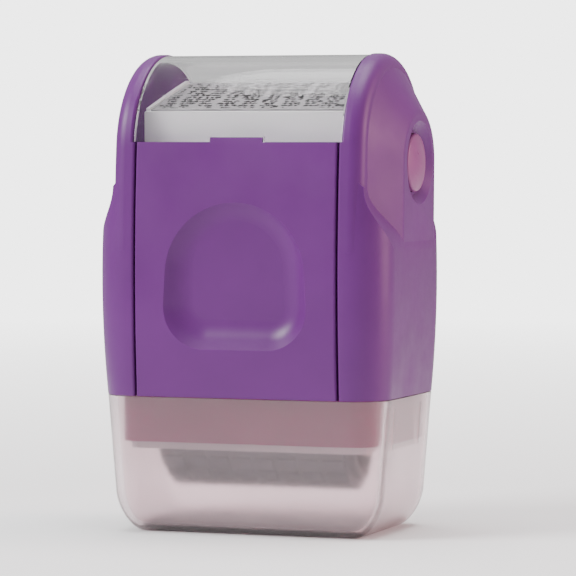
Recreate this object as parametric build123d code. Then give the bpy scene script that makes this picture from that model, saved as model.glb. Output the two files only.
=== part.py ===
from build123d import *
from math import atan, cos, degrees, radians, sin, sqrt, tan
import os

# Self-inking roller stamp with a pull-off cap, side release buttons and a label window.
# Millimetres.  +Z is up, +X is to the right and the front faces -Y.
# The origin is the middle of the cap's base.

# ---------------------------------------------------------------- driving dimensions
body_width = 58.0          # across the waist, side to side
body_depth = 40.0          # across the waist, front to back
total_height = 90.5
seam_height = 26.0         # where the casing meets the cap
waist_height = 48.3        # height of the fullest part of the casing
foot_inset = 0.85          # how far each side draws in from waist to seam
corner_radius = 7.6        # upright corners
casing_wall = 2.0
panel_backing = 1.0        # rebated inner layer of the front and rear panels
seam_gap = 0.2
rest_gap = 0.1             # between parts that close on each other

# side recesses and arms
cheek_inset = 4.1          # depth of the recess in each side
arm_edge = 2.7             # rounding of the arms' outer edges
cheek_low_drop = 18.0      # start of the recess below the arch centre
cheek_high_drop = 6.0      # where the recess reaches full depth, below the arch centre
arm_inner = 20.7           # half the distance between the arms
arm_rounding = 0.5         # inner edges of the shells, beside window and panels
web_wall = 1.4             # inner wall of an arm
groove_width = 0.35        # shadow gap beside the panels
panel_step = 0.45          # panels' sides inside the arms' inner faces
panel_rounding = 0.4
rebate_overlap = 2.3       # panel backing behind each shell

# panels
panel_top_rise = 2.3       # front panel's top above the arch centre
rear_top_rise = 0.8
shelf_thickness = 1.3
lip_width = 10.3
lip_height = 0.9
lip_thickness = 0.7
scoop_width = 29.5
scoop_low = 34.9
scoop_height = 28.2
scoop_depth = 3.0          # at the bottom ledge
scoop_crown_depth = 1.5    # at the top of the scoop
scoop_flank = 50.0         # degrees, how far its walls lie over
scoop_foot_round = 8.5
scoop_blend = 6.0          # between the walls and the floor
scoop_skin = 1.2

# clear window
window_drop = 0.25         # below the arms' outline
window_wall = 1.2
window_side_gap = 0.2
hinge_pin_radius = 1.2
hinge_bead_radius = 2.0
hinge_angle = 11.2         # degrees above level, seen from the arch centre
running_gap = 0.05

# label tray and card
tray_corner_gap = 2.72     # front edge of the deck inside the window
tray_corner_angle = 31.9   # degrees above level, seen from the arch centre
tray_slope = 15.2          # degrees
tray_wall = 1.3
tray_window_gap = 0.6
rail_width = 0.8
rail_height = 0.7
card_thickness = 0.35
card_gap = 0.3

# release buttons
boss_radius = 9.6
boss_edge = 1.6
boss_setback = 3.0         # boss centre behind the middle
boss_drop = 1.6            # boss centre below the arch centre
boss_reach = 4.0           # boss face beyond the recess floor at its centre
boss_tilt = 0.5            # degrees, the top of the face leans out
dish_radius = 7.9
dish_depth = 1.5
dish_floor = 0.4           # flat ring round the button
button_radius = 5.5
button_gap = 0.1
button_proud = 0.3
button_dome = 16.0         # radius of the button's domed face
button_edge = 0.5
flange_radius = 6.5
flange_thickness = 1.0
flange_play = 0.3
flange_cover = 0.7         # wall left in front of the flange
stem_radius = 1.8
button_travel = 1.8
spring_wire = 0.45
spring_turns = 3.5
spring_radius = 3.2

# inner frame, whose lower end is the neck that the cap fits
neck_side_gap = 1.35       # between neck and cap at the rim, each side
neck_front_gap = 2.0       # the same, front and rear
neck_bottom = 17.3
neck_wall = 1.5
neck_corner = 4.0
frame_top = 53.8
flange_height = 1.5

# ink unit
slide_gap = 0.25
unit_wall = 1.3
unit_bottom = 15.9
unit_top = 51.1
end_plate = 2.4
latch_width = 8.0
latch_thickness = 1.4
latch_set = 17.0           # inner face of each latch tongue from the middle
latch_tooth = 0.9
latch_gap = 0.25
latch_ramp = 3.0
plate_hole = 3.2           # lightening holes in the end plates

# printing drum and ink roller
drum_radius = 11.0
drum_clearance = 8.0       # printing surface above the table with the cap on
rubber_width = 36.0
rubber_thickness = 2.0
relief_depth = 0.6
relief_columns = 22
relief_rows = 8
relief_groove = 0.9
core_lip = 1.5
core_wall = 1.5
drum_axle_radius = 1.5
bush_radius = 3.2
bush_length = 6.0
bush_collar_radius = 4.5
ink_roller_radius = 8.5
ink_roller_width = 38.0
ink_core_radius = 3.0
ink_axle_radius = 1.25
roller_gap = 0.15          # left between foam and rubber
side_play = 0.1

# cap
cap_wall = 1.6
cap_draft = 4.5            # degrees
cap_foot_rise = 7.6
cap_foot_run = 5.5
cap_curve_in = 0.45        # fullness of the cap's rounded foot, 0.45 is a round
cap_rib_thickness = 1.2
cap_rib_gap = 0.05
cap_rib_height = 8.0
cap_rib_drop = 1.5         # ribs' top below the cap's rim
cap_rib_bite = 0.3         # ribs' root inside the wall

# ---------------------------------------------------------------- values worked out
half_width = body_width / 2
half_depth = body_depth / 2
waist_drop = waist_height - seam_height
waist_radius = (foot_inset**2 + waist_drop**2) / (2 * foot_inset)


def flank(half, height, inset=0.0):
    """Half width or depth of the barrelled casing at a height."""
    return half - waist_radius + sqrt((waist_radius - inset) ** 2 - (height - waist_height) ** 2)


waist_rise = total_height - waist_height
arch_radius = (2 * waist_radius * half_depth - half_depth**2 - waist_rise**2) / (
    2 * (waist_radius - waist_rise)
)
arch_height = total_height - arch_radius
above_all = total_height + 5.0
casing_foot = seam_height + seam_gap / 2
cap_top = seam_height - seam_gap / 2
shell_inner = arm_inner - panel_step
panel_half = shell_inner - groove_width

cheek_floor = half_width - cheek_inset
cheek_low = arch_height - cheek_low_drop
cheek_high = arch_height - cheek_high_drop

panel_top = arch_height + panel_top_rise
rear_top = arch_height + rear_top_rise
window_outer = arch_radius - window_drop
window_inner = window_outer - window_wall
hinge_reach = window_outer - hinge_bead_radius - running_gap
hinge_setback = hinge_reach * cos(radians(hinge_angle))
hinge_height = arch_height + hinge_reach * sin(radians(hinge_angle))
tray_reach = window_inner - tray_corner_gap
tray_front = tray_reach * cos(radians(tray_corner_angle))
tray_rise = tray_reach * sin(radians(tray_corner_angle))

boss_height = arch_height - boss_drop
boss_face = cheek_floor + boss_reach
boss_back = cheek_floor - casing_wall
web_low = boss_height - flange_radius - 3.0
web_outer = arm_inner + web_wall
flange_front = boss_face - dish_depth - flange_cover - casing_wall / 4
flange_back = flange_front - flange_thickness
stem_end = arm_inner - 0.1

neck_width = 2 * (flank(half_width, seam_height) - cap_wall - neck_side_gap)
neck_depth = 2 * (flank(half_depth, seam_height) - cap_wall - neck_front_gap)
neck_inner_width = neck_width - 2 * neck_wall
neck_inner_depth = neck_depth - 2 * neck_wall
unit_half_width = neck_inner_width / 2 - slide_gap
unit_half_depth = neck_inner_depth / 2 - slide_gap
plate_inner = unit_half_width - end_plate
drum_height = drum_clearance + drum_radius
ink_height = drum_height + drum_radius + ink_roller_radius + roller_gap
core_half = rubber_width / 2 + core_lip
core_radius = drum_radius - rubber_thickness
latch_top = boss_height + 3.0


# ---------------------------------------------------------------- shared shapes
def block(x0, x1, y0, y1, z0, z1):
    """Rectangular block between the given limits."""
    return Pos((x0 + x1) / 2, (y0 + y1) / 2, (z0 + z1) / 2) * Box(x1 - x0, y1 - y0, z1 - z0)


def rod(radius, x0, x1, y=0.0, z=0.0):
    """Cylinder along X."""
    return Pos((x0 + x1) / 2, y, z) * Rot(0, 90, 0) * Cylinder(radius, x1 - x0)


def tube(outer, inner, x0, x1, y=0.0, z=0.0):
    """Hollow cylinder along X."""
    return rod(outer, x0, x1, y, z) - rod(inner, x0 - 1, x1 + 1, y, z)


def cone(radius_0, radius_1, x0, x1, y=0.0, z=0.0):
    """Cone along X with radius_0 at x0."""
    return Pos((x0 + x1) / 2, y, z) * Rot(0, 90, 0) * Cone(radius_0, radius_1, x1 - x0)


def prism_x(outline, x0, x1):
    """Extrude a closed YZ outline between two X positions."""
    return extrude(Plane.YZ.offset(x0) * make_face(outline), amount=x1 - x0)


def prism_y(outline, y0, y1):
    """Extrude a closed XZ outline between two Y positions."""
    return extrude(Plane.XZ.offset(-y0) * make_face(outline), amount=-(y1 - y0))


def mirrored(shape):
    """The same piece on the left side."""
    return mirror(shape, about=Plane.YZ)


def upright_box(width, depth, radius, z0, z1):
    """Upright prism with rounded corners."""
    sketch = RectangleRounded(width, depth, radius)
    return extrude(Plane.XY.offset(z0) * sketch, amount=z1 - z0)


# ---------------------------------------------------------------- casing envelope
def side_outline(inset, foot):
    """Closed YZ outline: barrelled front and back under a round arch."""
    radius = arch_radius - inset
    lean_y = waist_radius - half_depth
    lean_z = arch_height - waist_height
    reach = sqrt(lean_y**2 + lean_z**2)
    meet = (lean_y / reach * radius, arch_height + lean_z / reach * radius)
    low = (flank(half_depth, foot, inset), foot)
    bulge_height = (foot + meet[1]) / 2
    bulge = (flank(half_depth, bulge_height, inset), bulge_height)
    return Curve() + [
        Line((-low[0], low[1]), low),
        ThreePointArc(low, bulge, meet),
        ThreePointArc(meet, (0, arch_height + radius), (-meet[0], meet[1])),
        ThreePointArc((-meet[0], meet[1]), (-bulge[0], bulge[1]), (-low[0], low[1])),
    ]


def lower_body(inset, foot):
    """Barrelled casing with large upright corners, below the arms."""
    bulge_height = (foot + above_all) / 2
    foot_x = (flank(half_width, foot, inset), foot)
    bulge_x = (flank(half_width, bulge_height, inset), bulge_height)
    top_x = (flank(half_width, above_all, inset), above_all)
    front = Curve() + [
        Line((-foot_x[0], foot_x[1]), foot_x),
        ThreePointArc(foot_x, bulge_x, top_x),
        Line(top_x, (-top_x[0], top_x[1])),
        ThreePointArc((-top_x[0], top_x[1]), (-bulge_x[0], bulge_x[1]), (-foot_x[0], foot_x[1])),
    ]
    body = prism_x(side_outline(inset, foot), -body_width, body_width)
    body = body & prism_y(front, -body_depth, body_depth)
    corners = [
        edge
        for edge in body.edges()
        if abs(edge.center().X) > half_width / 2 and edge.center().Z > foot + 0.01
    ]
    cut = recess_cut(inset)
    return fillet(corners, corner_radius - inset) - cut - mirrored(cut)


def recess_cut(inset):
    """What the right recess and the arm above it take away from the lower body."""
    low = (flank(half_width, cheek_low) - inset, cheek_low)
    high = (cheek_floor - inset, cheek_high)
    reach = (cheek_high - cheek_low) / 2.5
    start_lean = (low[1] - waist_height) / waist_radius
    start = (low[0] - start_lean * reach, low[1] + reach)
    tuck = arm_edge + 1
    far = body_width
    outline = Curve() + [
        Bezier(low, start, (high[0], high[1] - reach), high),
        Polyline(
            high, (high[0] - tuck, high[1] + tuck), (-far, high[1] + tuck), (-far, above_all),
            (far, above_all), (far, low[1]), low,
        ),
    ]
    return prism_y(outline, -body_depth, body_depth)


def arms_body(inset):
    """Arch-topped block between the two cheeks, its outer edges rounded."""
    half = cheek_floor - inset
    body = prism_x(side_outline(inset, cheek_low), -half, half)
    rounding = arm_edge - inset
    if rounding <= 0:
        return body
    rims = [
        edge
        for edge in body.edges()
        if abs(edge.center().X) > half - 0.01 and edge.center().Z > cheek_low + 0.01
    ]
    return fillet(rims, rounding)


def casing_body(inset, foot):
    """Solid casing, drawn in by inset."""
    return lower_body(inset, foot) + arms_body(inset)


outer_body = casing_body(0.0, casing_foot)
inner_body = casing_body(casing_wall, casing_foot - 1)
panel_body = casing_body(casing_wall + panel_backing, casing_foot - 1)
skin = outer_body - inner_body


def ease_edges(piece, side, rounding):
    """Round the edges where a piece's side plane meets the casing's outer outline."""
    edges = [edge for edge in piece.edges() if abs(abs(edge.center().X) - side) < 0.01 and on_outline(edge)]
    return fillet(edges, rounding)


def on_outline(edge):
    """Whether an edge runs along the casing's outer side outline."""
    point = edge @ 0.5
    if point.Z > arch_height + 2:
        reach = sqrt(point.Y**2 + (point.Z - arch_height) ** 2)
        return abs(reach - arch_radius) < 0.05
    return abs(abs(point.Y) - flank(half_depth, point.Z)) < 0.05


# ---------------------------------------------------------------- side shells
def round_topped(plane, middle, crown, radius, foot):
    """Face with a round top of the given radius and straight sides down to foot, on a side plane."""
    left, right = middle - radius, middle + radius
    outline = Curve() + [
        Line((left, foot), (left, crown)),
        ThreePointArc((left, crown), (middle, crown + radius), (right, crown)),
        Polyline((right, crown), (right, foot), (left, foot)),
    ]
    return plane * make_face(outline)


def boss_blank():
    """The recess floor swells from the arm's edge to a round-topped face that leans out at the top."""
    base_radius = arch_radius - arm_edge - rest_gap
    foot = cheek_low - 2
    root = extrude(
        round_topped(Plane.YZ.offset(boss_back), 0, arch_height, base_radius, foot), amount=casing_wall
    )
    base = round_topped(Plane.YZ.offset(cheek_floor), 0, arch_height, base_radius, foot)
    face_plane = Plane((boss_face, 0, boss_height), x_dir=(0, 1, 0), z_dir=(
        cos(radians(boss_tilt)), 0, -sin(radians(boss_tilt))
    ))
    face = round_topped(face_plane, boss_setback, 0, boss_radius, foot - boss_height)
    swell = loft([base, face], ruled=True)
    rim = swell.faces().sort_by(Axis.X)[-1].edges().filter_by(lambda edge: edge.center().Z > foot + 3)
    return root + fillet(rim, boss_edge)


def make_side_shell():
    """Right shell: outer wall, hollow arm, boss with a dished rim for the button."""
    arm = skin & block(arm_inner, body_width, -body_depth, body_depth, rear_top, above_all)
    side = skin & block(shell_inner, body_width, -body_depth, body_depth, 0, panel_top)
    beside_window = block(0, arm_inner, 0, body_depth, rear_top, above_all)
    shell = ease_edges(side, shell_inner, arm_rounding) - beside_window
    shell = shell + ease_edges(arm, arm_inner, arm_rounding)
    web = outer_body & block(arm_inner, web_outer, -body_depth, body_depth, web_low, above_all)
    web = web & prism_x(side_outline(arm_rounding, web_low), 0, body_width)
    pocket = rod(
        flange_radius + flange_play, web_outer, flange_front + rest_gap, boss_setback, boss_height
    )
    shell = shell + (boss_blank() - inner_body) + web - pocket
    slope = (dish_radius - button_radius - button_gap - dish_floor) / dish_depth
    rim = 2.0
    dish = Cone(dish_radius - slope * dish_depth, dish_radius + slope * rim, dish_depth + rim)
    dish = Pos(0, 0, (rim - dish_depth) / 2) * dish
    shell = shell - Pos(boss_face, boss_setback, boss_height) * Rot(0, boss_tilt, 0) * Rot(0, 90, 0) * dish
    head_hole = rod(button_radius + button_gap, flange_back, body_width, boss_setback, boss_height)
    stem_hole = rod(stem_radius + button_gap, arm_inner - 1, web_outer + 1, boss_setback, boss_height)
    pin_hole = rod(hinge_pin_radius + running_gap, arm_inner - 1, web_outer + 1, hinge_setback, hinge_height)
    return shell - head_hole - stem_hole - pin_hole


# ---------------------------------------------------------------- front and rear panels
def scoop_cut(grow):
    """Thumb scoop as a tool in front of the front panel, larger by grow on every side."""
    lean = degrees(atan((scoop_depth - scoop_crown_depth) / scoop_height))
    wall = scoop_depth * tan(radians(scoop_flank))
    crown_wall = scoop_crown_depth * tan(radians(scoop_flank))
    half = scoop_width / 2 - wall + grow
    foot_round = scoop_foot_round - wall + grow
    low = wall - grow
    crown = scoop_height - crown_wall - half + grow
    side_run = half - foot_round
    turn = foot_round * (1 - sin(radians(45)))
    outline = Curve() + [
        Line((-side_run, low), (side_run, low)),
        ThreePointArc((side_run, low), (half - turn, low + turn), (half, low + foot_round)),
        Line((half, low + foot_round), (half, crown)),
        ThreePointArc((half, crown), (0, crown + half), (-half, crown)),
        Line((-half, crown), (-half, low + foot_round)),
        ThreePointArc((-half, low + foot_round), (-half + turn, low + turn), (-side_run, low)),
    ]
    floor_at = (0, -half_depth + scoop_depth + grow, scoop_low)
    floor = Plane(floor_at, x_dir=(1, 0, 0), z_dir=(0, -cos(radians(lean)), -sin(radians(lean))))
    tool = extrude(floor * make_face(outline), amount=2 * scoop_depth, taper=-scoop_flank)
    bottom = tool.faces().sort_by(Axis.Y)[-1]
    return fillet(bottom.edges(), scoop_blend)


def make_panel(top, rise_lip, shelf_back):
    """Front panel; the rear one is the same part turned round with a lower top."""
    face = skin & block(-panel_half, panel_half, -body_depth, 0, 0, top)
    face = ease_edges(face, panel_half, panel_rounding)
    rebate_half = arm_inner + rebate_overlap
    backing = (inner_body - panel_body) & block(
        -rebate_half, rebate_half, -body_depth, 0, casing_foot + flange_height + 1, web_low - 0.5
    )
    upper = (inner_body - panel_body) & block(-panel_half, panel_half, -body_depth, 0, web_low - 1, top)
    shelf = inner_body & block(-panel_half, panel_half, -body_depth, -shelf_back, top - shelf_thickness, top)
    panel = face + backing + upper + shelf
    well = scoop_cut(scoop_skin) & outer_body
    panel = panel + well - scoop_cut(0.0)
    if rise_lip:
        behind = -sqrt(arch_radius**2 - (top - arch_height) ** 2) + lip_thickness
        panel = panel + (
            outer_body
            & block(-lip_width / 2, lip_width / 2, -body_depth, behind, top - shelf_thickness, top + lip_height)
        )
    return panel


# ---------------------------------------------------------------- window, tray and card
def make_window():
    """Clear curved cover with a hinge bead and two stub pins at the back."""
    half = arm_inner - window_side_gap
    low = panel_top + rest_gap
    ring = tube(window_outer, window_inner, -half, half, 0, arch_height)
    ring = ring & block(-half, half, -body_depth, hinge_setback + 0.6, low, above_all)
    rear = tube(window_outer, window_inner, -half, half, 0, arch_height)
    rear = rear & block(-half, half, 0, body_depth, hinge_height, above_all)
    bead = rod(hinge_bead_radius, -half, half, hinge_setback, hinge_height)
    pin_end = web_outer - 0.2
    pins = rod(hinge_pin_radius, -pin_end, pin_end, hinge_setback, hinge_height)
    notch_half = lip_width / 2 + 0.2
    notch = block(-notch_half, notch_half, -body_depth, 0, low - 1, panel_top + lip_height + 0.2)
    return ring + rear + bead + pins - notch


def deck_line(offset=0.0):
    """Front and rear ends of the sloping deck, shifted square to the deck by offset."""
    slope = radians(tray_slope)
    limit = window_inner - tray_window_gap
    # the deck's rear end is where its line meets the circle just inside the window
    along = -(-tray_front * cos(slope) + tray_rise * sin(slope))
    along += sqrt(along**2 - (tray_front**2 + tray_rise**2 - limit**2))
    start = (-tray_front - offset * sin(slope), arch_height + tray_rise + offset * cos(slope))
    end = (start[0] + along * cos(slope), start[1] + along * sin(slope))
    return start, end


def make_tray():
    """Label tray: front skirt, sloping deck, rear wall and a side rail by each arm."""
    start, end = deck_line()
    foot = rear_top
    outline = Polyline(
        start, end, (end[0], foot), (end[0] - tray_wall, foot),
        (end[0] - tray_wall, end[1] - tray_wall * 1.3),
        (start[0] + tray_wall, start[1] - tray_wall),
        (start[0] + tray_wall, foot), (start[0], foot), start,
    )
    tray = prism_x(outline, -arm_inner, arm_inner)
    rail_start, rail_end = deck_line(rail_height)
    inset = 1.0
    rail = Polyline(
        (start[0] + inset, start[1]), (end[0] - inset, end[1] - 0.2),
        (rail_end[0] - inset, rail_end[1] - 0.2), (rail_start[0] + inset, rail_start[1]),
        (start[0] + inset, start[1]),
    )
    rail = prism_x(rail, arm_inner - rail_width, arm_inner)
    return tray + rail + mirrored(rail)


def make_card():
    """Printed label card lying on the deck between the rails."""
    start, end = deck_line(0.02)
    top_start, top_end = deck_line(card_thickness)
    inset = 0.6
    half = arm_inner - rail_width - card_gap
    slope = radians(tray_slope)
    run, rise = inset * cos(slope), inset * sin(slope)
    outline = Polyline(
        (start[0] + run, start[1] + rise), (end[0] - run, end[1] - rise),
        (top_end[0] - run, top_end[1] - rise), (top_start[0] + run, top_start[1] + rise),
        (start[0] + run, start[1] + rise),
    )
    return prism_x(outline, -half, half)


# ---------------------------------------------------------------- buttons and springs
def make_button():
    """Right release button: domed head, retaining flange and stem."""
    top = boss_face + button_proud
    rim = top - (button_dome - sqrt(button_dome**2 - button_radius**2))
    half_rim = top - (button_dome - sqrt(button_dome**2 - button_radius**2 / 4))
    profile = make_face(Curve() + [
        Polyline((top, 0), (flange_back, 0), (flange_back, button_radius), (rim, button_radius)),
        ThreePointArc((rim, button_radius), (half_rim, button_radius / 2), (top, 0)),
    ])
    corner = [point for point in profile.vertices() if abs(point.Y - button_radius) < 0.01]
    profile = fillet(max(corner, key=lambda point: point.X), button_edge)
    head = Pos(0, boss_setback, boss_height) * revolve(profile, Axis.X)
    flange = rod(flange_radius, flange_back, flange_front, boss_setback, boss_height)
    stem = rod(stem_radius, stem_end, flange_front, boss_setback, boss_height)
    return head + flange + stem


def make_spring():
    """Return spring between the arm's inner wall and the button's flange."""
    start = web_outer + spring_wire / 2 + 0.02
    length = flange_back - web_outer - spring_wire - 0.04
    path = Helix(length / spring_turns, length, spring_radius)
    wire = Plane(origin=path @ 0, z_dir=path % 0) * Circle(spring_wire / 2)
    coil = sweep(wire, path=path, is_frenet=True)
    return Pos(start, boss_setback, boss_height) * Rot(0, 90, 0) * coil


# ---------------------------------------------------------------- inner frame
def make_inner_frame():
    """Sleeve for the ink unit: neck, two locating flanges and a slotted top plate."""
    sleeve = upright_box(neck_width, neck_depth, neck_corner, neck_bottom, frame_top)
    bore = upright_box(
        neck_inner_width, neck_inner_depth, neck_corner - neck_wall, neck_bottom - 1, frame_top - flange_height
    )
    rebate_half = arm_inner + rebate_overlap
    beside = block(rebate_half + rest_gap, body_width, -body_depth, body_depth, 0, above_all)
    room = panel_body + (inner_body & beside) + (inner_body & mirrored(beside))
    low = casing_foot + flange_height / 2
    flanges = room & block(-body_width, body_width, -body_depth, body_depth, low, low + flange_height)
    upper = room & block(
        -body_width, body_width, -body_depth, body_depth, frame_top - flange_height, frame_top
    )
    scoop_room = scoop_cut(scoop_skin + rest_gap)
    upper = upper - scoop_room - Rot(0, 0, 180) * scoop_room
    frame = sleeve + flanges + upper - bore
    slot_half = latch_width / 2 + latch_gap
    slot = block(
        latch_set - latch_gap, latch_set + latch_thickness + latch_tooth + latch_gap,
        boss_setback - slot_half, boss_setback + slot_half, frame_top - 5, frame_top + 5,
    )
    return frame - slot - mirrored(slot)


# ---------------------------------------------------------------- ink unit
def make_unit_frame():
    """Carrier for drum and ink roller: front, rear and top walls and two latch tongues."""
    half = unit_half_width
    outer = block(-half, half, -unit_half_depth, unit_half_depth, unit_bottom, unit_top)
    room = block(
        -half - 1, half + 1, -unit_half_depth + unit_wall, unit_half_depth - unit_wall,
        unit_bottom - 1, unit_top - unit_wall,
    )
    upright = outer.edges().filter_by(Axis.Z)
    carrier = fillet(upright, neck_corner - neck_wall - slide_gap) - room
    tongue = block(
        latch_set, latch_set + latch_thickness, boss_setback - latch_width / 2, boss_setback + latch_width / 2,
        unit_top - unit_wall, latch_top,
    )
    tooth_low = frame_top + 0.3
    tooth = Polyline(
        (latch_set + latch_thickness - 0.1, tooth_low),
        (latch_set + latch_thickness + latch_tooth, tooth_low),
        (latch_set + latch_thickness - 0.1, tooth_low + latch_ramp),
        (latch_set + latch_thickness - 0.1, tooth_low),
    )
    tongue = tongue + prism_y(tooth, boss_setback - latch_width / 2, boss_setback + latch_width / 2)
    return carrier + tongue + mirrored(tongue)


def make_end_plate():
    """Right end plate with the bearing seats of both axles."""
    half = unit_half_depth - unit_wall
    plate = block(plate_inner, unit_half_width, -half, half, unit_bottom, unit_top - unit_wall)
    plate = plate - rod(drum_axle_radius, plate_inner - 1, unit_half_width + 1, 0, drum_height)
    plate = plate - rod(ink_axle_radius, plate_inner - 1, unit_half_width + 1, 0, ink_height)
    middle = (drum_height + ink_height) / 2
    for y in (-half / 2, half / 2):
        plate = plate - rod(plate_hole / 2, plate_inner - 1, unit_half_width + 1, y, middle)
    return plate


def make_drum_core():
    """Drum core: thin drum with a middle web and a hub bored for the two bushes."""
    core = rod(core_radius, -core_half, core_half, 0, drum_height)
    room_inner = bush_radius + core_wall
    for x0, x1 in ((-core_half - 1, -core_wall), (core_wall, core_half + 1)):
        core = core - tube(core_radius - core_wall, room_inner, x0, x1, 0, drum_height)
    core = core - rod(drum_axle_radius + 0.3, -core_half - 1, core_half + 1, 0, drum_height)
    for x0, x1 in ((-core_half - 1, -core_half + bush_length), (core_half - bush_length, core_half + 1)):
        core = core - rod(bush_radius, x0, x1, 0, drum_height)
    return core


def make_drum_rubber():
    """Printing sleeve whose face is cut into rows of small raised pads."""
    half = rubber_width / 2
    face = drum_radius - relief_depth
    sleeve = tube(drum_radius, core_radius, -half, half, 0, drum_height)
    pitch = rubber_width / relief_rows
    rings = [
        tube(
            drum_radius + 1, face,
            -half + row * pitch - relief_groove / 2, -half + row * pitch + relief_groove / 2,
            0, drum_height,
        )
        for row in range(1, relief_rows)
    ]
    bar = block(-half - 1, half + 1, -relief_groove / 2, relief_groove / 2, face, drum_radius + 1)
    bars = [
        Pos(0, 0, drum_height) * Rot(column * 360 / relief_columns, 0, 0) * bar
        for column in range(relief_columns)
    ]
    return sleeve - (rings + bars)


def make_bush():
    """Right drum bush: a collared sleeve that turns on the axle."""
    body = rod(bush_radius, core_half - bush_length, core_half, 0, drum_height)
    collar = rod(bush_collar_radius, core_half, plate_inner - side_play, 0, drum_height)
    bore = rod(drum_axle_radius + running_gap, 0, body_width, 0, drum_height)
    return body + collar - bore


def make_axle(radius, height):
    """Steel axle across both end plates, with chamfered ends."""
    half = unit_half_width - 0.2
    axle = rod(radius, -half, half, 0, height)
    ends = axle.edges().filter_by(GeomType.CIRCLE)
    return chamfer(ends, 0.25)


def make_ink_core():
    """Plastic tube that carries the foam and turns on the ink roller's axle."""
    half = plate_inner - side_play
    return tube(ink_core_radius, ink_axle_radius + running_gap, -half, half, 0, ink_height)


def make_foam():
    """Ink-soaked foam roller."""
    half = ink_roller_width / 2
    foam = tube(ink_roller_radius, ink_core_radius, -half, half, 0, ink_height)
    rims = [edge for edge in foam.edges().filter_by(GeomType.CIRCLE) if edge.radius > ink_core_radius + 1]
    return fillet(rims, 0.6)


# ---------------------------------------------------------------- cap
def cap_solid(inset, top):
    """Tapered box with rounded corners and a rounded foot, drawn in by inset."""
    draft = tan(radians(cap_draft))
    rim_x = flank(half_width, seam_height)
    rim_y = flank(half_depth, seam_height)
    straight_x = rim_x - corner_radius
    straight_y = rim_y - corner_radius
    base = corner_radius - draft * seam_height - inset
    rim = base + draft * top
    foot = inset
    rise = cap_foot_rise - inset
    run = cap_foot_run - inset
    side = base + draft * (foot + rise)
    curve_in = cap_curve_in

    def half_profile(reach):
        return [
            Line((0, foot), (reach + side - run, foot)),
            Bezier(
                (reach + side - run, foot), (reach + side - run * (1 - curve_in), foot),
                (reach + side - draft * rise * curve_in, foot + rise * (1 - curve_in)),
                (reach + side, foot + rise),
            ),
            Polyline((reach + side, foot + rise), (reach + rim, top), (0, top), (0, foot)),
        ]

    corner = revolve(Plane.XZ * make_face(Curve() + half_profile(0.0)), Axis.Z)
    across = extrude(Plane.XZ * make_face(Curve() + half_profile(straight_x)), amount=straight_y, both=True)
    along = extrude(Plane.YZ * make_face(Curve() + half_profile(straight_y)), amount=straight_x, both=True)
    solid = across + mirrored(across) + along + mirror(along, about=Plane.XZ)
    for x in (-straight_x, straight_x):
        for y in (-straight_y, straight_y):
            solid = solid + Pos(x, y, 0) * corner
    return solid


def make_cap():
    """Frosted cap with ribs that grip the neck."""
    shell = cap_solid(0.0, cap_top) - cap_solid(cap_wall, cap_top + 1)
    half_x = neck_width / 2 + cap_rib_gap
    high = cap_top - cap_rib_drop
    low = high - cap_rib_height
    hollow = cap_solid(cap_wall - cap_rib_bite, cap_top + 1)
    ribs = []
    for y in (-neck_depth / 4, neck_depth / 4):
        y0, y1 = y - cap_rib_thickness / 2, y + cap_rib_thickness / 2
        ribs += [block(half_x, body_width, y0, y1, low, high), block(-body_width, -half_x, y0, y1, low, high)]
    return shell + [rib & hollow for rib in ribs]


# ---------------------------------------------------------------- parts
right_shell = make_side_shell()
right_button = make_button()
right_spring = make_spring()
right_plate = make_end_plate()
right_bush = make_bush()
tray_rear = deck_line()[1][0]
rear = Rot(0, 0, 180) * make_panel(rear_top, False, tray_rear + rest_gap)

nodes = {
    "left_side_shell": mirrored(right_shell),
    "right_side_shell": right_shell,
    "front_panel": make_panel(panel_top, True, tray_front + rest_gap),
    "rear_panel": rear,
    "inner_frame": make_inner_frame(),
    "label_tray": make_tray(),
    "label_card": make_card(),
    "clear_window": make_window(),
    "left_button": mirrored(right_button),
    "right_button": right_button,
    "left_button_spring": mirrored(right_spring),
    "right_button_spring": right_spring,
    "ink_unit_frame": make_unit_frame(),
    "left_end_plate": mirrored(right_plate),
    "right_end_plate": right_plate,
    "drum_axle": make_axle(drum_axle_radius, drum_height),
    "drum_core": make_drum_core(),
    "drum_rubber": make_drum_rubber(),
    "left_drum_bush": mirrored(right_bush),
    "right_drum_bush": right_bush,
    "ink_roller_axle": make_axle(ink_axle_radius, ink_height),
    "ink_roller_core": make_ink_core(),
    "ink_roller_foam": make_foam(),
    "cap": make_cap(),
}

os.makedirs("parts", exist_ok=True)
for name, shape in nodes.items():
    export_step(shape, os.path.join("parts", name + ".step"))
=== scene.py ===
import math
import random

import bmesh
import bpy
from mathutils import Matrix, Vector


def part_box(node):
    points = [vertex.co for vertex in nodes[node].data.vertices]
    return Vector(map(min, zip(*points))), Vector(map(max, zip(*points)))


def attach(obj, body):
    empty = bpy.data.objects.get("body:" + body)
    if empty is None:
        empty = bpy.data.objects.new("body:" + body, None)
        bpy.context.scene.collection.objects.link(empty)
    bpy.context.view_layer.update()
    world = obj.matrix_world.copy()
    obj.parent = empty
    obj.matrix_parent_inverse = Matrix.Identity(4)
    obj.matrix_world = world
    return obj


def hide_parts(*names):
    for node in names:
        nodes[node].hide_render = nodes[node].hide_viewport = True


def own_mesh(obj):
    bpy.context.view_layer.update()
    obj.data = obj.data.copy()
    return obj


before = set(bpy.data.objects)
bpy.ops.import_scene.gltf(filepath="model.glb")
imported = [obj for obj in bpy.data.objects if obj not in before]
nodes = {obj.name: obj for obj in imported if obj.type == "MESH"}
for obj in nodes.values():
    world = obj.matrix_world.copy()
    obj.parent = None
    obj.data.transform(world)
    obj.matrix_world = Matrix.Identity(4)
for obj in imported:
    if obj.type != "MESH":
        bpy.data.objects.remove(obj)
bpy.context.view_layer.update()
MM = 0.001

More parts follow.
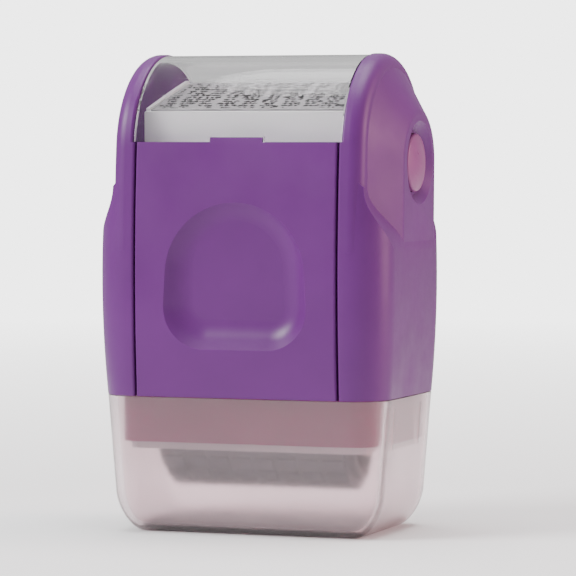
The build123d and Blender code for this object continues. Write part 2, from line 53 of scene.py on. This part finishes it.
# sizes that the frame doesn't state
CARD_THICKNESS = 0.35 * MM
PRINT_LIFT = 0.03 * MM         # print above the card's face
SPRING_WIRE_RADIUS = 0.225 * MM
SPRING_TURNS = 3.5


# ---------------------------------------------------------------- shader building blocks
class Tree:
    """Short way to place nodes and link them in one node tree.

    Sockets are given by name, with _ for a space, or as i0, i1 and so on by their place.
    """

    def __init__(self, tree):
        self.tree = tree

    def add(self, kind, **settings):
        node = self.tree.nodes.new(kind)
        for name, value in settings.items():
            setattr(node, name, value)
        return node

    def link(self, source, target):
        self.tree.links.new(source, target)

    def feed(self, node, **sockets):
        """Give each named input a value or link it to another node's output."""
        for name, value in sockets.items():
            target = node.inputs[int(name[1:])] if name[0] == "i" and name[1:].isdigit() else (
                node.inputs[name.replace("_", " ")]
            )
            if isinstance(value, bpy.types.NodeSocket):
                self.link(value, target)
            else:
                target.default_value = value
        return node

    def math(self, operation, a, b=0.0, clamp=False):
        node = self.add("ShaderNodeMath", operation=operation, use_clamp=clamp)
        self.feed(node, i0=a, i1=b)
        return node.outputs[0]

    def noise(self, vector, scale, detail=2.0, roughness=0.5):
        node = self.add("ShaderNodeTexNoise")
        self.feed(node, Vector=vector, Scale=scale, Detail=detail, Roughness=roughness)
        return node.outputs["Fac"]

    def ramp(self, value, low, high, out_low=0.0, out_high=1.0):
        node = self.add("ShaderNodeMapRange")
        self.feed(node, Value=value)
        for slot, number in zip(range(1, 5), (low, high, out_low, out_high)):
            if isinstance(number, bpy.types.NodeSocket):
                self.link(number, node.inputs[slot])
            else:
                node.inputs[slot].default_value = number
        return node.outputs["Result"]

    def mix(self, factor, first, second, blend="MIX"):
        node = self.add("ShaderNodeMix", data_type="RGBA", blend_type=blend)
        for slot, value in ((0, factor), (6, first), (7, second)):
            if isinstance(value, bpy.types.NodeSocket):
                self.link(value, node.inputs[slot])
            else:
                node.inputs[slot].default_value = value
        return node.outputs[2]


def group(name, inputs, outputs):
    """New shader group with named float inputs and outputs of the given kinds."""
    tree = bpy.data.node_groups.new(name, "ShaderNodeTree")
    for label, default in inputs.items():
        socket = tree.interface.new_socket(label, in_out="INPUT", socket_type="NodeSocketFloat")
        socket.default_value = default
    for label, kind in outputs.items():
        tree.interface.new_socket(label, in_out="OUTPUT", socket_type=kind)
    kit = Tree(tree)
    entry = kit.add("NodeGroupInput")
    exit_node = kit.add("NodeGroupOutput")
    return kit, entry.outputs, exit_node.inputs


def place(kit, tree, **values):
    """Put a group into a material with its own values."""
    node = kit.add("ShaderNodeGroup", node_tree=tree)
    return kit.feed(node, **values).outputs


def make_tool_grain():
    """Fine sparked texture that a moulding takes from its tool, with slow tone changes."""
    kit, given, out = group(
        "tool_grain",
        {"Grain": 2600.0, "Flow": 45.0},
        {"Height": "NodeSocketFloat", "Tone": "NodeSocketFloat"},
    )
    place_on = kit.add("ShaderNodeTexCoord").outputs["Object"]
    fine = kit.noise(place_on, given["Grain"], 3.0, 0.6)
    coarse_scale = kit.math("MULTIPLY", given["Grain"], 0.35)
    coarse = kit.noise(place_on, coarse_scale, 2.0)
    both = kit.math("ADD", kit.math("MULTIPLY", fine, 0.7), kit.math("MULTIPLY", coarse, 0.3))
    kit.link(both, out["Height"])
    kit.link(kit.ramp(kit.noise(place_on, given["Flow"], 4.0, 0.55), 0.32, 0.68), out["Tone"])
    return kit.tree


def make_edge_wear():
    """Mask that is strong on convex edges and broken up along them."""
    kit, given, out = group(
        "edge_wear",
        {"Width": 0.4 * MM, "Amount": 1.0, "Break Up": 420.0},
        {"Mask": "NodeSocketFloat"},
    )
    round_normal = kit.add("ShaderNodeBevel", samples=6)
    kit.feed(round_normal, Radius=given["Width"])
    true_normal = kit.add("ShaderNodeNewGeometry").outputs["Normal"]
    dot = kit.add("ShaderNodeVectorMath", operation="DOT_PRODUCT")
    kit.link(round_normal.outputs[0], dot.inputs[0])
    kit.link(true_normal, dot.inputs[1])
    edge = kit.ramp(dot.outputs["Value"], 0.995, 0.90)
    place_on = kit.add("ShaderNodeTexCoord").outputs["Object"]
    broken = kit.ramp(kit.noise(place_on, given["Break Up"], 4.0, 0.7), 0.42, 0.62)
    worn = kit.math("MULTIPLY", kit.math("MULTIPLY", edge, broken), given["Amount"], clamp=True)
    kit.link(worn, out["Mask"])
    return kit.tree


def make_dust():
    """Light dust that settles on faces turned upwards."""
    kit, given, out = group(
        "settled_dust", {"Amount": 0.3, "Scale": 900.0}, {"Mask": "NodeSocketFloat"}
    )
    normal = kit.add("ShaderNodeNewGeometry").outputs["Normal"]
    split = kit.add("ShaderNodeSeparateXYZ")
    kit.link(normal, split.inputs[0])
    upward = kit.ramp(split.outputs["Z"], 0.3, 1.0)
    place_on = kit.add("ShaderNodeTexCoord").outputs["Object"]
    specks = kit.ramp(kit.noise(place_on, given["Scale"], 5.0, 0.75), 0.5, 0.75)
    film = kit.ramp(kit.noise(place_on, 60.0, 3.0), 0.3, 0.8, 0.2, 0.6)
    cover = kit.math("MULTIPLY", kit.math("ADD", specks, film), upward)
    kit.link(kit.math("MULTIPLY", cover, given["Amount"], clamp=True), out["Mask"])
    return kit.tree


def make_handling():
    """Smudges and hairline scratches that change the gloss of a handled surface."""
    kit, given, out = group(
        "handling_marks",
        {"Roughness": 0.35, "Smudge": 0.08, "Scratch": 0.05},
        {"Roughness": "NodeSocketFloat", "Scratches": "NodeSocketFloat"},
    )
    place_on = kit.add("ShaderNodeTexCoord").outputs["Object"]
    smear = kit.ramp(kit.noise(place_on, 95.0, 5.0, 0.6), 0.35, 0.7, -1.0, 1.0)
    stretched = kit.add("ShaderNodeMapping")
    stretched.inputs["Rotation"].default_value = (0.4, 0.9, 0.6)
    stretched.inputs["Scale"].default_value = (40.0, 2600.0, 900.0)
    kit.link(place_on, stretched.inputs["Vector"])
    lines = kit.ramp(kit.noise(stretched.outputs[0], 1.0, 2.0), 0.66, 0.72)
    rough = kit.math("ADD", given["Roughness"], kit.math("MULTIPLY", smear, given["Smudge"]))
    scratch = kit.math("MULTIPLY", lines, given["Scratch"])
    kit.link(kit.math("ADD", rough, scratch, clamp=True), out["Roughness"])
    kit.link(lines, out["Scratches"])
    return kit.tree


tool_grain = make_tool_grain()
edge_wear = make_edge_wear()
settled_dust = make_dust()
handling_marks = make_handling()


def shade(colour, factor):
    """The same colour, lighter or darker."""
    return tuple(min(1.0, channel * factor) for channel in colour[:3]) + (1.0,)


def new_material(name):
    material = bpy.data.materials.new(name)
    material.use_nodes = True
    kit = Tree(material.node_tree)
    shader = material.node_tree.nodes["Principled BSDF"]
    return material, kit, shader


def moulded_plastic(
    name, colour, roughness, wear=0.5, wear_tint=1.5, dust=0.25, smudge=0.07, tone=0.08,
    specular=0.5, scatter=0.0,
):
    """Injection-moulded plastic with tool texture, worn edges, smudges and a little dust."""
    material, kit, shader = new_material(name)
    texture = place(kit, tool_grain, Grain=2600.0, Flow=45.0)
    worn = place(kit, edge_wear, Amount=wear)
    dusty = place(kit, settled_dust, Amount=dust)
    marks = place(kit, handling_marks, Roughness=roughness, Smudge=smudge)
    body = kit.mix(texture["Tone"], shade(colour, 1.0 - tone), shade(colour, 1.0 + tone))
    body = kit.mix(worn["Mask"], body, shade(colour, wear_tint))
    body = kit.mix(dusty["Mask"], body, (0.62, 0.60, 0.60, 1.0))
    bump = kit.add("ShaderNodeBump")
    kit.feed(bump, Strength=0.35, Distance=0.02 * MM, Height=texture["Height"])
    kit.feed(shader, Base_Color=body, Roughness=marks["Roughness"], Normal=bump.outputs[0])
    shader.inputs["Specular IOR Level"].default_value = specular
    shader.inputs["Subsurface Weight"].default_value = scatter
    shader.inputs["Subsurface Radius"].default_value = (1.2 * MM, 0.8 * MM, 1.2 * MM)
    return material


def frosted_plastic(name):
    """Milky translucent moulding: a sand-blasted tool blurs what stands behind it."""
    material, kit, shader = new_material(name)
    texture = place(kit, tool_grain, Grain=7000.0, Flow=30.0)
    worn = place(kit, edge_wear, Amount=0.6, Width=0.6 * MM)
    marks = place(kit, handling_marks, Roughness=0.20, Smudge=0.03)
    body = kit.mix(texture["Tone"], (0.90, 0.755, 0.79, 1.0), (0.95, 0.805, 0.84, 1.0))
    body = kit.mix(worn["Mask"], body, (0.98, 0.96, 0.97, 1.0))
    bump = kit.add("ShaderNodeBump")
    kit.feed(bump, Strength=0.2, Distance=0.01 * MM, Height=texture["Height"])
    kit.feed(shader, Base_Color=body, Roughness=marks["Roughness"], Normal=bump.outputs[0])
    shader.inputs["Transmission Weight"].default_value = 0.94
    shader.inputs["IOR"].default_value = 1.40
    shader.inputs["Specular IOR Level"].default_value = 0.4
    return material


def clear_plastic(name):
    """Polished clear moulding with faint handling haze and hairline scratches."""
    material, kit, shader = new_material(name)
    texture = place(kit, tool_grain, Grain=700.0, Flow=30.0)
    marks = place(kit, handling_marks, Roughness=0.04, Smudge=0.03, Scratch=0.2)
    body = kit.mix(texture["Tone"], (0.93, 0.925, 0.93, 1.0), (0.97, 0.965, 0.97, 1.0))
    bump = kit.add("ShaderNodeBump")
    kit.feed(bump, Strength=0.04, Distance=0.02 * MM, Height=marks["Scratches"])
    kit.feed(shader, Base_Color=body, Roughness=marks["Roughness"], Normal=bump.outputs[0])
    shader.inputs["Transmission Weight"].default_value = 1.0
    shader.inputs["IOR"].default_value = 1.22
    return material


def label_paper(name):
    """Uncoated white card with fibres."""
    material, kit, shader = new_material(name)
    place_on = kit.add("ShaderNodeTexCoord").outputs["Object"]
    fibres = kit.noise(place_on, 3200.0, 6.0, 0.7)
    patches = kit.noise(place_on, 220.0, 3.0)
    body = kit.mix(fibres, (0.30, 0.29, 0.305, 1.0), (0.40, 0.39, 0.405, 1.0))
    body = kit.mix(kit.math("MULTIPLY", patches, 0.3), body, (0.33, 0.32, 0.34, 1.0))
    bump = kit.add("ShaderNodeBump")
    kit.feed(bump, Strength=0.3, Distance=0.03 * MM, Height=fibres)
    kit.feed(shader, Base_Color=body, Normal=bump.outputs[0])
    shader.inputs["Roughness"].default_value = 0.85
    return material


def printed_ink(name):
    """Matt printed ink, patchy where the card shows through."""
    material, kit, shader = new_material(name)
    place_on = kit.add("ShaderNodeTexCoord").outputs["Object"]
    patchy = kit.ramp(kit.noise(place_on, 1500.0, 3.0), 0.35, 0.7)
    body = kit.mix(patchy, (0.008, 0.008, 0.010, 1.0), (0.025, 0.025, 0.028, 1.0))
    kit.feed(shader, Base_Color=body)
    shader.inputs["Roughness"].default_value = 0.6
    return material


def inked_rubber(name):
    """Dark printing rubber with wet ink in patches."""
    material, kit, shader = new_material(name)
    texture = place(kit, tool_grain, Grain=1800.0, Flow=160.0)
    worn = place(kit, edge_wear, Amount=0.8, Width=0.2 * MM)
    body = kit.mix(texture["Tone"], (0.012, 0.014, 0.024, 1.0), (0.045, 0.05, 0.075, 1.0))
    body = kit.mix(worn["Mask"], body, (0.10, 0.11, 0.14, 1.0))
    rough = kit.ramp(texture["Tone"], 0.0, 1.0, 0.22, 0.6)
    bump = kit.add("ShaderNodeBump")
    kit.feed(bump, Strength=0.5, Distance=0.04 * MM, Height=texture["Height"])
    kit.feed(shader, Base_Color=body, Roughness=rough, Normal=bump.outputs[0])
    return material


def ink_foam(name):
    """Open-cell foam soaked with ink."""
    material, kit, shader = new_material(name)
    place_on = kit.add("ShaderNodeTexCoord").outputs["Object"]
    cells = kit.add("ShaderNodeTexVoronoi")
    kit.feed(cells, Vector=place_on, Scale=1500.0)
    pores = kit.ramp(cells.outputs["Distance"], 0.1, 0.6)
    body = kit.mix(pores, (0.006, 0.007, 0.012, 1.0), (0.04, 0.042, 0.06, 1.0))
    bump = kit.add("ShaderNodeBump")
    kit.feed(bump, Strength=0.9, Distance=0.2 * MM, Height=pores)
    rough = kit.ramp(pores, 0.0, 1.0, 0.3, 0.8)
    kit.feed(shader, Base_Color=body, Roughness=rough, Normal=bump.outputs[0])
    return material


def turned_steel(name, colour=(0.58, 0.58, 0.60)):
    """Drawn steel rod or wire with fine lines round it."""
    material, kit, shader = new_material(name)
    place_on = kit.add("ShaderNodeTexCoord").outputs["Object"]
    squeezed = kit.add("ShaderNodeMapping")
    squeezed.inputs["Scale"].default_value = (9000.0, 300.0, 300.0)
    kit.link(place_on, squeezed.inputs["Vector"])
    lines = kit.noise(squeezed.outputs[0], 1.0, 3.0)
    body = kit.mix(lines, shade(colour, 0.85), shade(colour, 1.1))
    bump = kit.add("ShaderNodeBump")
    kit.feed(bump, Strength=0.25, Distance=0.01 * MM, Height=lines)
    rough = kit.ramp(lines, 0.2, 0.8, 0.2, 0.4)
    kit.feed(shader, Base_Color=body, Roughness=rough, Normal=bump.outputs[0])
    shader.inputs["Metallic"].default_value = 1.0
    return material


# ---------------------------------------------------------------- finishes of the CAD pieces
casing_purple = moulded_plastic(
    "casing_purple", (0.100, 0.0135, 0.138), 0.42, wear=0.3, wear_tint=2.0, dust=0.03, specular=0.30
)
frame_purple = moulded_plastic("frame_purple", (0.19, 0.001, 0.075), 0.5, wear=0.3, dust=0.0, specular=0.1)
button_mauve = moulded_plastic(
    "button_mauve", (0.20, 0.042, 0.165), 0.36, wear=0.4, dust=0.03, smudge=0.1, specular=0.4
)
tray_white = moulded_plastic(
    "tray_white", (0.96, 0.945, 0.955), 0.45, wear=0.1, wear_tint=1.1, dust=0.0, tone=0.02, scatter=0.1
)
carrier_grey = moulded_plastic("carrier_grey", (0.50, 0.50, 0.52), 0.5, wear=0.3, wear_tint=1.2, dust=0.1)
core_black = moulded_plastic("core_black", (0.03, 0.03, 0.035), 0.45, wear=0.4, wear_tint=3.0, dust=0.1)
bush_natural = moulded_plastic(
    "bush_natural", (0.72, 0.70, 0.64), 0.35, wear=0.1, wear_tint=1.1, dust=0.05, tone=0.03, scatter=0.15
)
cap_frosted = frosted_plastic("cap_frosted")
window_clear = clear_plastic("window_clear")
card_paper = label_paper("card_paper")
card_ink = printed_ink("card_ink")
drum_rubber = inked_rubber("drum_rubber")
roller_foam = ink_foam("roller_foam")
axle_steel = turned_steel("axle_steel")
spring_steel = turned_steel("spring_steel", (0.50, 0.50, 0.53))

finishes = {
    casing_purple: ["left_side_shell", "right_side_shell", "front_panel", "rear_panel"],
    frame_purple: ["inner_frame"],
    button_mauve: ["left_button", "right_button"],
    tray_white: ["label_tray"],
    card_paper: ["label_card"],
    window_clear: ["clear_window"],
    cap_frosted: ["cap"],
    carrier_grey: ["ink_unit_frame", "left_end_plate", "right_end_plate"],
    core_black: ["drum_core"],
    drum_rubber: ["drum_rubber"],
    roller_foam: ["ink_roller_foam"],
    bush_natural: ["left_drum_bush", "right_drum_bush", "ink_roller_core"],
    axle_steel: ["drum_axle", "ink_roller_axle"],
    spring_steel: ["left_button_spring", "right_button_spring"],
}
for finish, names in finishes.items():
    for name in names:
        piece = nodes[name]
        for slot in piece.material_slots:
            slot.material = finish


# ---------------------------------------------------------------- print on the label card
def make_card_print():
    """Rows of small abstract marks crossed by clear slanting lanes, like the pattern the drum prints."""
    draw = random.Random(7)
    low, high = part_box("label_card")
    rise, going = high[2] - low[2], high[1] - low[1]
    slope = math.atan2(rise - CARD_THICKNESS, going)
    # once more, now that the lean of the card's own thickness is known
    slope = math.atan2(rise - CARD_THICKNESS * math.cos(slope), going - CARD_THICKNESS * math.sin(slope))
    along = Vector((1.0, 0.0, 0.0))
    up_deck = Vector((0.0, math.cos(slope), math.sin(slope)))
    normal = along.cross(up_deck)
    corner = Vector((low[0], low[1], low[2] + CARD_THICKNESS * math.cos(slope))) + normal * PRINT_LIFT
    width = high[0] - low[0]
    depth = (going - CARD_THICKNESS * math.sin(slope)) / math.cos(slope)
    margin = 0.7 * MM
    lean = 0.55
    mesh = bmesh.new()

    def stroke(u, v, length, angle, thick):
        """One ink stroke as a flat four-sided mark on the card, kept off its edges."""
        run = Vector((math.cos(angle), math.sin(angle))) * length / 2
        side = Vector((-math.sin(angle), math.cos(angle))) * thick / 2
        middle = Vector((u, v))
        outline = [middle - run - side, middle + run - side, middle + run + side, middle - run + side]
        if all(margin < p.x < width - margin and margin < p.y < depth - margin for p in outline):
            mesh.faces.new([mesh.verts.new(corner + along * p.x + up_deck * p.y) for p in outline])

    def mark(u, v, size, weight):
        """One made-up mark: three or four strokes in a small square."""
        upright = math.pi / 2
        choices = (0.0, upright, upright - lean, upright + lean)
        for _ in range(draw.randint(3, 4)):
            stroke(
                u + draw.uniform(-0.3, 0.3) * size, v + draw.uniform(-0.3, 0.3) * size,
                size * draw.uniform(0.6, 1.0), draw.choice(choices), weight,
            )

    row_pitch, mark_pitch = 1.6 * MM, 1.15 * MM
    lane_pitch, lane_width, lane_lean = 4.1 * MM, 0.9 * MM, -0.15
    thin, medium, bold = 0.34 * MM, 0.44 * MM, 0.56 * MM
    for row in range(int(depth / row_pitch)):
        v = (row + 0.6) * row_pitch
        u = margin + draw.uniform(0.0, 1.0) * mark_pitch
        while u < width - margin:
            size = draw.uniform(0.95, 1.35) * MM
            lane = (u - v * lane_lean) % lane_pitch
            if lane > lane_width and draw.random() > 0.04:
                mark(u, v, size, draw.choice((thin, medium, bold)))
            u += mark_pitch * draw.uniform(0.85, 1.2)
    # darker clusters, as shares of the card's width and depth
    clusters = ((0.955, 0.12), (0.93, 0.13), (0.62, 0.08), (0.53, 0.30), (0.40, 0.46), (0.34, 0.62))
    for u_share, v_share in clusters:
        for _ in range(5):
            mark(width * u_share, depth * v_share, 1.2 * MM, 0.26 * MM)
    data = bpy.data.meshes.new("card_print")
    mesh.to_mesh(data)
    mesh.free()
    piece = bpy.data.objects.new("card_print", data)
    bpy.context.collection.objects.link(piece)
    data.materials.append(card_ink)
    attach(piece, "casing")
    return piece


make_card_print()


# ---------------------------------------------------------------- return springs of the buttons
def make_button_spring(side):
    """Open coil of round wire between casing and button."""
    node = side + "_button_spring"
    low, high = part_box(node)
    wire = SPRING_WIRE_RADIUS
    around, steps = 10, 112
    coil_radius = (high[2] - low[2]) / 2 - wire
    along = Vector((1.0, 0.0, 0.0))
    middle = Vector((0.0, (low[1] + high[1]) / 2, (low[2] + high[2]) / 2))
    fixed, free = (low[0], high[0]) if side == "right" else (high[0], low[0])
    start, end = fixed + math.copysign(wire, free), free - math.copysign(wire, free)
    mesh = bmesh.new()
    rings = []
    for step in range(steps + 1):
        share = step / steps
        turn = 2 * math.pi * SPRING_TURNS * share
        outwards = Vector((0.0, math.cos(turn), math.sin(turn)))
        centre = middle + outwards * coil_radius + along * (start + (end - start) * share)
        ring = []
        for k in range(around):
            a = 2 * math.pi * k / around
            ring.append(mesh.verts.new(centre + (outwards * math.cos(a) + along * math.sin(a)) * wire))
        rings.append(ring)
    for first, second in zip(rings, rings[1:]):
        for k in range(around):
            face = mesh.faces.new((first[k], second[k], second[(k + 1) % around], first[(k + 1) % around]))
            face.smooth = True
    mesh.faces.new(rings[0])
    mesh.faces.new(rings[-1])
    bmesh.ops.recalc_face_normals(mesh, faces=mesh.faces)
    data = bpy.data.meshes.new(side + "_spring_coil")
    mesh.to_mesh(data)
    mesh.free()
    data.materials.append(spring_steel)
    piece = bpy.data.objects.new(side + "_spring_coil", data)
    bpy.context.collection.objects.link(piece)
    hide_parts(node)
    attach(piece, "casing")
    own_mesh(piece)


for hand in ("left", "right"):
    make_button_spring(hand)


# ---------------------------------------------------------------- stage, lights and camera
def make_floor():
    """Pale round floor that fades out into the bright surroundings well away from the object."""
    data = bpy.data.meshes.new("floor")
    half = 2.0
    corners = [(-half, -half, 0), (half, -half, 0), (half, half, 0), (-half, half, 0)]
    data.from_pydata(corners, [], [range(4)])
    floor = bpy.data.objects.new("floor", data)
    bpy.context.collection.objects.link(floor)
    material, kit, shader = new_material("floor_pale")
    place_on = kit.add("ShaderNodeTexCoord").outputs["Object"]
    body = kit.mix(kit.noise(place_on, 3.0, 2.0), (0.88, 0.88, 0.885, 1.0), (0.91, 0.91, 0.91, 1.0))
    away = kit.add("ShaderNodeVectorMath", operation="LENGTH")
    kit.link(place_on, away.inputs[0])
    solid = kit.ramp(away.outputs["Value"], 0.10, 0.75, 1.0, 0.0)
    kit.feed(shader, Base_Color=body, Alpha=solid)
    shader.inputs["Roughness"].default_value = 0.7
    data.materials.append(material)


def make_light(name, place_at, size, power, colour=(1.0, 1.0, 1.0), look_at=(0.0, 0.0, 0.045)):
    """Soft rectangular studio light."""
    lamp = bpy.data.lights.new(name, "AREA")
    lamp.shape = "RECTANGLE"
    lamp.size, lamp.size_y = size
    lamp.energy = power
    lamp.color = colour
    holder = bpy.data.objects.new(name, lamp)
    holder.location = place_at
    holder.rotation_euler = (Vector(place_at) - Vector(look_at)).to_track_quat("Z", "Y").to_euler()
    bpy.context.collection.objects.link(holder)


def make_world():
    """Even pale surroundings: white behind the object, dimmer through clear parts and in what they light."""
    world = bpy.data.worlds.new("studio")
    world.use_nodes = True
    kit = Tree(world.node_tree)
    background = world.node_tree.nodes["Background"]
    background.inputs["Color"].default_value = (1.0, 1.0, 1.0, 1.0)
    ray = kit.add("ShaderNodeLightPath").outputs
    around = kit.ramp(ray["Is Transmission Ray"], 0.0, 1.0, 0.57, 0.80)
    kit.link(kit.ramp(ray["Is Camera Ray"], 0.0, 1.0, around, 4.0), background.inputs["Strength"])
    bpy.context.scene.world = world


def make_camera():
    """Long lens, a little to the right of the front and just above the middle."""
    azimuth, elevation = math.radians(19.9), math.radians(2.53)
    distance = 0.670
    target = Vector((0.0031, 0.0011, 0.0459))
    back = Vector((
        math.sin(azimuth) * math.cos(elevation), -math.cos(azimuth) * math.cos(elevation), math.sin(elevation)
    ))
    data = bpy.data.cameras.new("camera")
    data.lens = 219.3
    data.sensor_width = 36.0
    data.clip_end = 50.0
    camera = bpy.data.objects.new("camera", data)
    camera.location = target + back * distance
    camera.rotation_euler = back.to_track_quat("Z", "Y").to_euler()
    bpy.context.collection.objects.link(camera)
    bpy.context.scene.camera = camera


make_floor()
make_world()
make_light("key_left", (-0.95, -0.75, 0.80), (0.6, 0.6), 26.0)
make_light("side_warm", (0.95, 0.30, 0.30), (0.5, 0.6), 9.0, (1.0, 0.58, 0.56))
make_light("top_soft", (0.0, 0.1, 1.1), (0.8, 0.8), 16.0)
make_camera()
